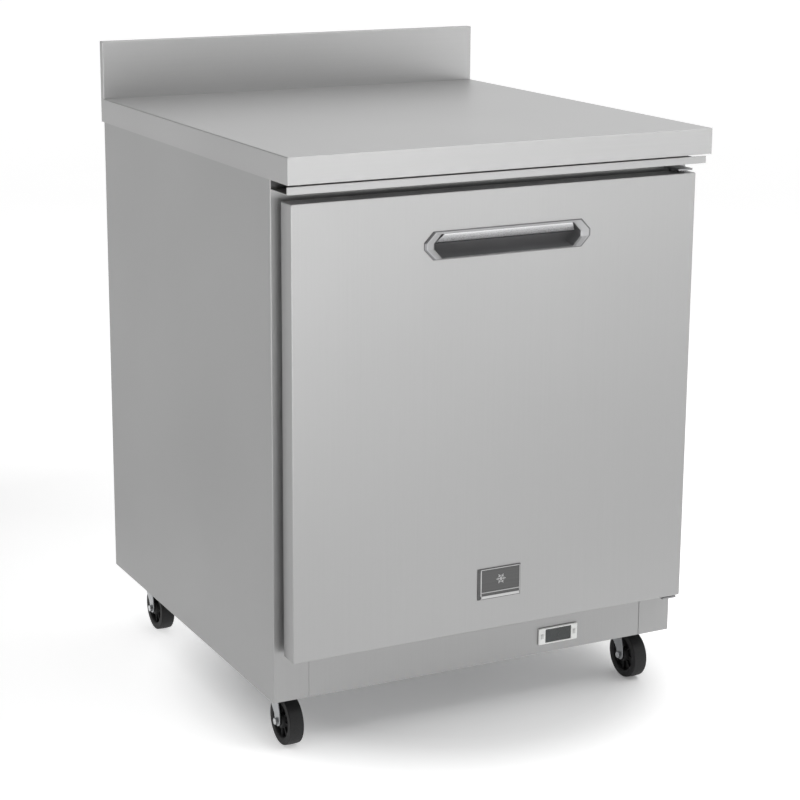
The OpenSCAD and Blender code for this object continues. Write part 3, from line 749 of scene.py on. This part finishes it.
def build_handle():
    """Pointed bezel with broad end facets, its pull lip and the scooped pocket behind."""
    low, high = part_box("handle_bezel")
    plow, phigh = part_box("handle_pocket")
    face_y = plow[1]
    front_y = low[1]
    centre = ((low[0] + high[0]) / 2, (low[2] + high[2]) / 2)
    inner_centre = (centre[0], centre[1] - 1.4 * MM)
    width, height = high[0] - low[0], high[2] - low[2]
    # sections: outline centre, width, height, point length and y
    seam = (centre, width - 6.4 * MM, height - 2.6 * MM, 15 * MM)
    rim = pointed_ring("handle_rim", [
        (centre, width, height, 15 * MM, face_y),
        (centre, width - 0.8 * MM, height - 0.4 * MM, 15 * MM, face_y + (front_y - face_y) * 0.5),
        (*seam, front_y + 0.2 * MM),
        (*seam, face_y),
    ])
    bezel = pointed_ring("handle_frame", [
        (*seam, face_y),
        (*seam, front_y + 0.1 * MM),
        (centre, width - 10 * MM, height - 3.4 * MM, 15 * MM, front_y),
        (inner_centre, width - 29 * MM, height - 6.2 * MM, 12 * MM, front_y + 1.3 * MM),
        (inner_centre, width - 33 * MM, height - 7.0 * MM, 12 * MM, face_y - 0.2 * MM),
        (inner_centre, width - 33 * MM, height - 7.0 * MM, 12 * MM, face_y),
    ])

    # the lip hangs from the top edge and slopes back into the pocket
    top = inner_centre[1] + (height - 7 * MM) / 2
    section = [
        (front_y + 1.1 * MM, top + 0.4 * MM), (front_y + 1.3 * MM, top - 1.4 * MM),
        (face_y + 7.0 * MM, centre[1] + 3.2 * MM), (face_y + 9 * MM, centre[1] + 3.6 * MM),
        (face_y + 9.2 * MM, centre[1] + 5.2 * MM), (face_y - 0.3 * MM, top - 0.2 * MM),
        (face_y - 0.3 * MM, top + 0.4 * MM),
    ]
    lip = prism("handle_lip", section, 0, centre[0] - 0.5, centre[0] + 0.5)
    reach, fall = width / 2 - 16.5 * MM, 24 * MM / (height - 7 * MM)
    for vertex in lip.data.vertices:
        half = reach - fall * max(0.0, vertex.co.z - inner_centre[1]) - 3.2 * MM
        vertex.co.x = centre[0] + math.copysign(half, vertex.co.x - centre[0])
    soften(lip, 0.5 * MM, 3, 25)
    piece(bezel, "door", "handle_metal", ["handle_bezel"], angle=22)
    # the rim's darker metal is painted shade
    piece(rim, "door", "handle_metal", material=SKIN["shaded_rim_metal"], angle=22)
    # the lip's lighter metal is painted light
    piece(lip, "door", "handle_metal", material=SKIN["lit_lip_metal"])
    # a black rubber strip under the lip, where only shade falls: painted shadow
    shadow_strip = box_object(
        "handle_shadow_strip", (centre[0] - reach + 6 * MM, face_y + 6.4 * MM, centre[1] + 1.6 * MM),
        (centre[0] + reach - 6 * MM, face_y + 9.4 * MM, centre[1] + 3.7 * MM), 0.6 * MM,
    )
    piece(shadow_strip, "door", "black_rubber")

    # scoop: its floor and ends rise towards the back wall
    depth = phigh[1] - plow[1] - SHEET
    mouth_w, mouth_h = phigh[0] - plow[0] - 0.4 * MM, phigh[2] - plow[2] - 0.4 * MM
    bm = bmesh.new()
    rings = []
    for back, ends, rise in ((0, 0, 0), (0.35, 2, 1.2), (0.7, 4, 3.5), (0.9, 7, 8), (1.0, 12, 17)):
        middle = (centre[0], centre[1] + rise * MM / 2)
        tip = 13 * MM * (1 - 0.4 * back)
        outline = pointed_outline(middle, mouth_w - 2 * ends * MM, mouth_h - rise * MM, tip)
        rings.append([bm.verts.new((x, plow[1] + back * depth, z)) for x, z in outline])
    bridge(bm, rings)
    bm.faces.new(rings[-1])
    scoop = object_from(bm, "handle_scoop")
    if facing_away(scoop, Vector((centre[0], (plow[1] + phigh[1]) / 2, centre[1]))) > 0:
        scoop.data.flip_normals()
    solidify(scoop, 0.9 * MM)
    # the scoop's grey is painted light on the black pocket
    piece(scoop, "door", "black_plastic", ["handle_pocket"], SKIN["lit_scoop_plastic"], angle=38)


def build_badge():
    """Plain plate: a dark field in thin bright lines, with a generic six-armed frost star."""
    low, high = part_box("badge_plate")
    y = low[1]
    plate = box_object("badge_field", (low[0], y + 0.7 * MM, low[2]), high, 0.6 * MM, 3)
    piece(plate, "door", "badge_metal", ["badge_plate"], SKIN["badge_field"])
    x0, z0 = low[0] + 4.6 * MM, low[2] + 1.2 * MM
    x1, z1 = high[0] - 1.2 * MM, high[2] - 1.2 * MM
    lines = [
        ((x0, y, low[2] + 0.6 * MM), (low[0] + 6.4 * MM, y + 1.2 * MM, z1)),
        ((x0, y, high[2] - 2.4 * MM), (x1, y + 1.2 * MM, z1)),
        ((high[0] - 2.2 * MM, y, z0), (x1, y + 1.2 * MM, z1)),
        ((x0, y, low[2] + 10.2 * MM), (x1, y + 1.2 * MM, low[2] + 11.4 * MM)),
        ((x0, y, z0), (x1, y + 1.2 * MM, low[2] + 5.6 * MM)),
    ]
    frame_lines = boxes_object("lines", lines, 0.25 * MM)
    star = bmesh.new()
    centre = Vector(((low[0] + high[0]) / 2 + 3 * MM, y + 0.45 * MM, (low[2] + high[2]) / 2 + 5 * MM))
    for k in range(3):
        arm = bmesh.new()
        add_box(arm, (-8 * MM, 0, -0.6 * MM), (8 * MM, 0.5 * MM, 0.6 * MM))
        for x in (-5 * MM, 5 * MM):
            add_box(arm, (x - 0.5 * MM, 0, -2.2 * MM), (x + 0.5 * MM, 0.5 * MM, 2.2 * MM))
        add_turned(star, arm, Matrix.Translation(centre) @ Matrix.Rotation(math.radians(60 * k), 4, "Y"))
    piece(join("badge_lines", [frame_lines, object_from(star, "star")]), "door", "badge_metal")


# ---- casters

def build_wheel(key):
    """Wheel with a crowned tread, a stepped face and eight ribs on each side; returns its centre."""
    low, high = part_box(f"caster_wheel_{key}")
    centre = [(a + b) / 2 for a, b in zip(low, high)]
    radius = (high[2] - low[2]) / 2
    half = 11.5 * MM
    bore, hub, hub_half = 4.05 * MM, 11 * MM, (high[0] - low[0]) / 2
    side = [
        (bore, hub_half), (hub - 1.5 * MM, hub_half), (hub, hub_half - 1.2 * MM), (hub + 1.5 * MM, 5 * MM),
        (24 * MM, 4.2 * MM), (25.5 * MM, 5 * MM), (26.2 * MM, half - 1.6 * MM), (27.2 * MM, half - 0.6 * MM),
        (30 * MM, half), (radius - 5 * MM, half - 0.1 * MM),
    ]
    shoulder = 1.6 * MM
    for k in range(1, 7):
        a = math.radians(15 * k)
        side.append((
            radius - 0.5 * MM - shoulder + shoulder * math.sin(a), half - shoulder + shoulder * math.cos(a),
        ))
    side.append((radius - 0.12 * MM, 3.5 * MM))
    profile = side + [(radius, 0.0)] + [(r, -along) for r, along in reversed(side)]
    wheel = lathe("wheel", profile, centre, 0, 72)
    ribs = bmesh.new()
    for k in range(8):
        for sign in (-1, 1):
            rib = bmesh.new()
            xs = sorted((sign * 4 * MM, sign * 8.5 * MM))
            add_box(rib, (xs[0], 9.5 * MM, -0.9 * MM), (xs[1], 25.6 * MM, 0.9 * MM))
            turn = Matrix.Translation(centre) @ Matrix.Rotation(math.radians(45 * k), 4, "X")
            add_turned(ribs, rib, turn)
    wheel = join(f"wheel_{key}", [wheel, object_from(ribs, "ribs")])
    piece(wheel, f"caster_wheel_{key}", "wheel_rubber", [f"caster_wheel_{key}"], angle=40)
    return centre


def build_fork(key, axle):
    """Two sheet legs under a pressed crown disc, and the swivel pin; axle is the axle's (y, z)."""
    low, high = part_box(f"caster_fork_{key}")
    swivel = ((low[0] + high[0]) / 2, high[1] - 25 * MM)
    # underside of the crown disc
    crown = 86.7 * MM
    outline = []
    for k in range(13):
        a = math.radians(180 + 15 * k)
        outline.append((axle[0] + 8 * MM * math.cos(a), axle[1] + 8 * MM * math.sin(a)))
    outline += [(axle[0] + 11 * MM, axle[1] + 9 * MM), (swivel[1] + 12 * MM, crown - 8 * MM)]
    outline += [(swivel[1] + 18 * MM, crown + 2 * MM), (swivel[1] - 24 * MM, crown + 2 * MM)]
    outline += [(axle[0] - 7.4 * MM, axle[1] + 16 * MM)]
    legs = []
    for sign in (-1, 1):
        xs = sorted((swivel[0] + sign * 14 * MM, swivel[0] + sign * 16.5 * MM))
        legs.append(prism("leg", outline, 0, xs[0], xs[1]))
    crown_ring = [
        (0, crown), (17 * MM, crown - 0.2 * MM), (22 * MM, crown + 0.6 * MM), (24.6 * MM, crown + 1.6 * MM),
        (25 * MM, crown + 3 * MM), (24.4 * MM, crown + 4.7 * MM), (0, crown + 4.8 * MM),
    ]
    crown_disc = lathe("crown", crown_ring, (*swivel, 0), 2)
    pin = bmesh.new()
    add_rod(pin, (*swivel, crown - 3 * MM), (*swivel, crown + 11.7 * MM), 5.9 * MM, 24)
    pin = object_from(pin, "pin")
    for leg in legs:
        soften(leg, 0.8 * MM, 3, 40)
    fork = join(f"fork_{key}", [*legs, crown_disc, pin])
    piece(fork, f"caster_fork_{key}", "caster_zinc", [f"caster_fork_{key}"], angle=40)


def build_axle(key, axle):
    """Axle bolt with a hexagon head and a nut; axle is its (y, z)."""
    low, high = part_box(f"caster_axle_{key}")
    bolt = bmesh.new()
    add_rod(bolt, (low[0] + 2 * MM, *axle), (high[0] - 2 * MM, *axle), 4 * MM, 24)
    bolt = object_from(bolt, "bolt")
    size, head_length = 5.6 * MM, 4.5 * MM
    hexagon = [
        (axle[0] + size * math.cos(math.pi / 3 * k), axle[1] + size * math.sin(math.pi / 3 * k))
        for k in range(6)
    ]
    heads = []
    for x0, x1 in ((low[0], low[0] + head_length), (high[0] - head_length, high[0])):
        head = prism("head", hexagon, 0, x0, x1)
        soften(head, 0.7 * MM, 2, 40)
        heads.append(head)
    bolt = join(f"axle_{key}", [bolt, *heads])
    piece(bolt, f"caster_fork_{key}", "bright_steel", [f"caster_axle_{key}"], angle=40)


def build_caster(key):
    """One swivel caster below its plate."""
    axle = build_wheel(key)[1:]
    build_fork(key, axle)
    build_axle(key, axle)


# ---- controller

def build_controller():
    """White bezel with its openings, the two button caps and the dark window."""
    low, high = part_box("controller_bezel")
    wlow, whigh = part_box("display_window")
    bezel = box_object("controller_face", low, high, 1.6 * MM, 4)
    cut(bezel, box_object(
        "cutter", (wlow[0], low[1] - 5 * MM, wlow[2]), (whigh[0], high[1] + 5 * MM, whigh[2])
    ))
    gap = 0.3 * MM
    for side in ("left", "right"):
        blow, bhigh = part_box(f"button_{side}")
        cut(bezel, box_object(
            "cutter", (blow[0] - gap, low[1] - 5 * MM, blow[2] - gap),
            (bhigh[0] + gap, high[1] + 5 * MM, bhigh[2] + gap),
        ))
        button = box_object(f"button_{side}_cap", blow, bhigh, 0.8 * MM, 3)
        piece(button, f"button_{side}", "button_plastic", [f"button_{side}"])
    piece(bezel, "cabinet", "bezel_plastic", ["controller_bezel"])
    window = box_object("display_glass", wlow, whigh, 0.5 * MM)
    piece(window, "cabinet", "display_plastic", ["display_window"])


# ---- shelves

def build_shelf(node):
    """Round-wire shelf: rim with rounded corners, cross bars and wires."""
    low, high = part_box(node)
    rim_r, wire_r = 3 * MM, 1.75 * MM
    bm = bmesh.new()
    z = low[2] + rim_r
    path = rounded_path(rectangle(low, high, 1, rim_r), 10 * MM, closed=True)
    for a, b in zip(path, path[1:] + path[:1]):
        if (b - a).length > 0.2 * MM:
            add_rod(bm, (*a, z), (*b, z), rim_r, 10)
    for k in (1, 2):
        y = low[1] + (high[1] - low[1]) * k / 3
        add_rod(bm, (low[0] + rim_r, y, z), (high[0] - rim_r, y, z), rim_r * 0.9, 10)
    count = 22
    for k in range(1, count):
        x = low[0] + (high[0] - low[0]) * k / count
        top = high[2] - wire_r
        add_rod(bm, (x, low[1] + rim_r, top), (x, high[1] - rim_r, top), wire_r, 8)
    piece(object_from(bm, node + "_wires"), "cabinet", "shelf_coating", [node], angle=45)


# ---- interior and machine space

def build_fan(node, blades, hub_r):
    """Axial fan on the body of its own name: a domed hub with curved, pitched blades."""
    low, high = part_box(node)
    cx, cz = (low[0] + high[0]) / 2, (low[2] + high[2]) / 2
    tip = (high[2] - low[2]) / 2
    # the hub and the blades are at the front of the node, the shaft behind them
    y0, y1 = FAN_DEPTH[node]
    hub = lathe("hub", [
        (0, y0), (hub_r - 4 * MM, y0), (hub_r - 1.2 * MM, y0 + 0.8 * MM), (hub_r, y0 + 3 * MM),
        (hub_r, y1), (0, y1),
    ], (cx, 0, cz), 1)
    shaft = bmesh.new()
    add_rod(shaft, (cx, low[1], cz), (cx, high[1], cz), 3 * MM, 20)
    sheet = bmesh.new()
    steps, across = 8, 6
    for k in range(blades):
        rows = []
        for i in range(steps + 1):
            t = i / steps
            r = hub_r - 1.5 * MM + (tip - hub_r - 0.6 * MM) * t
            span = math.radians(26 + 22 * math.sin(math.pi * min(1, 0.25 + 0.62 * t)))
            sweep = math.radians(14) * t * t
            row = []
            for j in range(across + 1):
                u = j / across - 0.5
                angle = 2 * math.pi * k / blades + sweep + u * span
                y = (y0 + y1) / 2 + u * (y1 - y0) * 0.8 + 2.2 * MM * (0.25 - u * u)
                row.append(sheet.verts.new((cx + r * math.cos(angle), y, cz + r * math.sin(angle))))
            rows.append(row)
        bridge(sheet, rows, closed=False)
    blades_obj = object_from(sheet, "blades")
    modifier = blades_obj.modifiers.new("sheet", "SOLIDIFY")
    modifier.thickness = 1.4 * MM
    modifier.offset = 0
    apply_modifiers(blades_obj)
    fan = join(node + "_blades", [hub, object_from(shaft, "shaft"), blades_obj])
    piece(fan, node, SLOTS[node], [node], angle=40)


def ring_of_rods(bm, centre, radius, wire, y, sides=36):
    """A wire ring facing along Y."""
    points = [
        Vector((
            centre[0] + radius * math.cos(2 * math.pi * k / sides), y,
            centre[1] + radius * math.sin(2 * math.pi * k / sides),
        ))
        for k in range(sides)
    ]
    for a, b in zip(points, points[1:] + points[:1]):
        add_rod(bm, a, b, wire, 8)


def build_evaporator():
    """Rounded evaporator cover with its fan opening, wire guard and bottom slots."""
    low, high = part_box("evaporator_housing")
    cover = pan("evaporator_cover", low, high, (0, 1, 0), 1.5 * MM, 7 * MM)
    flow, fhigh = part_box("evaporator_fan")
    centre = ((flow[0] + fhigh[0]) / 2, (flow[2] + fhigh[2]) / 2)
    hole = 62 * MM
    y0, y1 = low[1] - 5 * MM, low[1] + 5 * MM
    cut(cover, lathe("cutter", [(0, y0), (hole, y0), (hole, y1), (0, y1)], (centre[0], 0, centre[1]), 1, 64))
    slot_width, slot_pitch, slot_count = 14 * MM, 22 * MM, 9
    cut(cover, boxes_object("cutter", [
        ((x, 262 * MM, low[2] - 5 * MM), (x + slot_width, 304 * MM, low[2] + 5 * MM))
        for x in (slot_pitch * k for k in range(slot_count))
    ]))
    piece(cover, "cabinet", SLOTS["evaporator_housing"], ["evaporator_housing"])
    bm = bmesh.new()
    for radius in (16, 28, 40, 52, 64):
        ring_of_rods(bm, centre, radius * MM, 1.1 * MM, low[1] - 1.2 * MM)
    y = low[1] - 1.4 * MM
    for k in range(6):
        c, s = math.cos(math.radians(60 * k + 30)), math.sin(math.radians(60 * k + 30))
        start, end = ((centre[0] + r * c, y, centre[1] + r * s) for r in (15 * MM, 67 * MM))
        add_rod(bm, start, end, 1.3 * MM, 8)
    piece(object_from(bm, "evaporator_guard"), "cabinet", "bright_steel", angle=45)


def build_coil(node, rows, columns):
    """Fin pack on copper tubes, with the return bends at its ends."""
    low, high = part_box(node)
    inset, fin, pitch = 9 * MM, 0.5 * MM, 3.4 * MM
    bm = bmesh.new()
    x = low[0] + inset
    while x < high[0] - inset:
        add_box(bm, (x, low[1], low[2]), (x + fin, high[1], high[2]))
        x += pitch
    for end in (low[0] + inset - 1.2 * MM, high[0] - inset + 0.2 * MM):
        add_box(bm, (end, low[1], low[2]), (end + 1.2 * MM, high[1], high[2]))
    piece(object_from(bm, node + "_fins"), "cabinet", "fin_aluminium", [node])
    tubes = bmesh.new()
    tube = 3.8 * MM
    for c in range(columns):
        y = low[1] + (high[1] - low[1]) * (c + 0.5) / columns
        zs = [low[2] + (high[2] - low[2]) * (r + 0.5) / rows for r in range(rows)]
        for z in zs:
            add_rod(tubes, (low[0] + inset, y, z), (high[0] - inset, y, z), tube, 12)
        for r in range(rows - 1):
            middle, half = (zs[r] + zs[r + 1]) / 2, (zs[r + 1] - zs[r]) / 2
            sign = 1 if (r + c) % 2 else -1
            base = high[0] - inset if sign > 0 else low[0] + inset
            reach = min(half, inset - tube - 0.3 * MM)
            turns = [math.pi * k / 8 for k in range(9)]
            points = [
                Vector((base + sign * reach * math.sin(t), y, middle - half * math.cos(t))) for t in turns
            ]
            for a, b in zip(points, points[1:]):
                add_rod(tubes, a, b, tube, 10)
    piece(object_from(tubes, node + "_tubes"), "cabinet", "copper", angle=50)


def build_grille_hoods():
    """A pressed hood over each slot of the rear grille."""
    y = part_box("rear_grille")[1][1]
    first_x, width, column_pitch = -291 * MM, 102 * MM, 115 * MM
    first_z, row_pitch = 165 * MM, 14 * MM
    # (out from the grille, up from the slot), up the outside and back down the inside
    section = [
        (-0.2, 6.6), (2.2, 6.0), (4.2, 3.8), (4.8, 0.6), (4.0, 0.6), (3.4, 3.3), (1.8, 5.1), (-0.2, 5.6),
    ]
    hoods = []
    for column in range(5):
        x = first_x + column_pitch * column
        for row in range(11):
            z = first_z + row_pitch * row
            outline = [(y + out * MM, z + up * MM) for out, up in section]
            hoods.append(prism("hood", outline, 0, x, x + width))
    piece(join("grille_hoods", hoods), "cabinet", "galvanised_steel", angle=45)


def soften_small_parts():
    """Parts whose CAD shape is already right get broken edges and smooth curves."""
    widths = {
        "breaker_strip": 1.5, "liner_floor": 0.4, "controller_case": 1.0, "compressor": 1.6,
        "compressor_grommets": 0.8, "condenser_fan_motor": 0.4, "evaporator_fan_motor": 0.4,
        "drain_pan": 0.5, "refrigerant_lines": 0.2, "cord_gland": 0.5, "shelf_clips": 0.4,
        "screws": 0.35, "caster_plates": 0.6, "top_frame": 0.3, "machine_bulkhead": 0.3,
        "liner_walls": 0.4, "pilasters": 0.3,
    }
    for node, width in widths.items():
        softened_node(node, "cabinet", SLOTS[node], width * MM)
    softened_node("door_bushes", "door", SLOTS["door_bushes"], 0.5 * MM)
    brackets = "hinge_brackets"
    # the brackets' darker steel is painted shade
    softened_node(brackets, "cabinet", SLOTS[brackets], 0.5 * MM, SKIN["shaded_hinge_steel"])


# ---- dressing of the remaining CAD nodes

def dress_nodes():
    """Every CAD node gets its slot's material; nodes that a piece replaces stay hidden."""
    for name, obj in frame["nodes"].items():
        obj.data.materials.clear()
        obj.data.materials.append(SKIN[SLOTS[name]])


# ---- stage

def build_stage():
    """Pale paper floor that glows a little round the object, more so far in front of it; the glow is painted
    light, and where it is low, under and round the object, it paints the soft shadow.
    """
    bm = bmesh.new()
    bmesh.ops.create_circle(bm, cap_ends=True, segments=96, radius=60.0)
    floor = object_from(bm, "floor")
    material, tree, shader = new_material("floor_paper")
    shade = noise_at(tree, (2, 2, 2))
    tree.links.new(
        blend_colours(tree, shade, (0.84, 0.84, 0.84), (0.86, 0.86, 0.86)), shader.inputs["Base Color"]
    )
    shader.inputs["Roughness"].default_value = 0.9
    shader.inputs["Specular IOR Level"].default_value = 0.1
    where = coordinates(tree, (1, 1, 1))
    away = measure(tree, "DISTANCE", where, GLOW_CENTRE)
    ahead = measure(tree, "DOT_PRODUCT", where, TOWARDS_FRONT)
    ring = tree.nodes.new("ShaderNodeValToRGB")
    ramp = ring.color_ramp
    outer = GLOW_RING[-1][0]
    for distance, _ in GLOW_RING[1:-1]:
        ramp.elements.new(distance / outer)
    for element, (distance, strength) in zip(ramp.elements, GLOW_RING):
        element.position = distance / outer
        element.color = (strength, strength, strength, 1)
    tree.links.new(spread(tree, away, 0, 1, (0, outer)), ring.inputs["Fac"])
    front_glow = spread(tree, ahead, 0, GLOW_FRONT, (1.2, 4.0))
    rear_glow = spread(tree, ahead, 0, GLOW_BEHIND, (-0.7, -1.2))
    glow = maths(tree, "ADD", ring.outputs["Color"], maths(tree, "ADD", front_glow, rear_glow))
    shader.inputs["Emission Color"].default_value = (1, 1, 1, 1)
    tree.links.new(glow, shader.inputs["Emission Strength"])
    floor.data.materials.append(material)


def area_light(name, location, target, size, power):
    """A soft rectangular light that the camera doesn't see."""
    data = bpy.data.lights.new(name, "AREA")
    data.shape = "RECTANGLE"
    data.size, data.size_y = size
    data.energy = power
    light = bpy.data.objects.new(name, data)
    light.location = location
    light.rotation_mode = "QUATERNION"
    light.rotation_quaternion = (Vector(target) - Vector(location)).to_track_quat("-Z", "Y")
    light.visible_camera = False
    bpy.context.scene.collection.objects.link(light)


def build_light():
    """White backdrop for the camera; the object is lit by a soft room, brightest at the top right."""
    scene = bpy.context.scene
    scene.view_settings.view_transform = "Standard"
    world = bpy.data.worlds.new("studio")
    scene.world = world
    world.use_nodes = True
    tree = world.node_tree
    tree.nodes.clear()
    out = tree.nodes.new("ShaderNodeOutputWorld")
    shown = tree.nodes.new("ShaderNodeBackground")
    shown.inputs["Color"].default_value = (1, 1, 1, 1)
    room = tree.nodes.new("ShaderNodeBackground")
    source = tree.nodes.new("ShaderNodeTexCoord")
    slope = measure(tree, "DOT_PRODUCT", source.outputs["Generated"], ROOM_SLOPE)
    level = maths(tree, "ADD", slope, ROOM_LEVEL)
    tree.links.new(maths(tree, "MAXIMUM", level, ROOM_DARKEST), room.inputs["Strength"])
    path = tree.nodes.new("ShaderNodeLightPath")
    mix = tree.nodes.new("ShaderNodeMixShader")
    tree.links.new(path.outputs["Is Camera Ray"], mix.inputs["Fac"])
    tree.links.new(room.outputs[0], mix.inputs[1])
    tree.links.new(shown.outputs[0], mix.inputs[2])
    tree.links.new(mix.outputs[0], out.inputs["Surface"])
    area_light("back_right", (1.7, 3.3, 2.4), (0.1, 0, 0.9), (2.8, 1.8), 6)
    area_light("front_high", (0.8, -1.5, 2.3), (0, 0.36, 0.95), (1.6, 1.0), 15)


def build_camera():
    """Camera in front, to the left and above, with a long lens."""
    data = bpy.data.cameras.new("camera")
    data.lens = 94.03
    data.sensor_width = 36
    data.shift_x = 0.0729
    data.shift_y = -0.0682
    camera = bpy.data.objects.new("camera", data)
    yaw, pitch = math.radians(25.77), math.radians(13.48)
    forward = Vector((
        math.sin(yaw) * math.cos(pitch), math.cos(yaw) * math.cos(pitch), -math.sin(pitch)
    ))
    camera.location = (-1.5057, -2.9430, 1.3202)
    camera.rotation_mode = "QUATERNION"
    camera.rotation_quaternion = forward.to_track_quat("-Z", "Y")
    bpy.context.scene.collection.objects.link(camera)
    bpy.context.scene.camera = camera


build_camera()
build_stage()
build_light()
dress_nodes()
build_worktop()
build_front_rail()
for panel_side in ("left", "right"):
    build_side_panel(panel_side)
build_lower_panel()
build_door()
build_gasket()
build_handle()
build_badge()
build_controller()
for caster in CASTERS:
    build_caster(caster)
for shelf in ("shelf_upper", "shelf_lower"):
    build_shelf(shelf)
build_evaporator()
build_coil("evaporator_coil", 7, 2)
build_coil("condenser_coil", 7, 2)
build_fan("evaporator_fan", 5, 14 * MM)
build_fan("condenser_fan", 5, 16 * MM)
build_grille_hoods()
soften_small_parts()
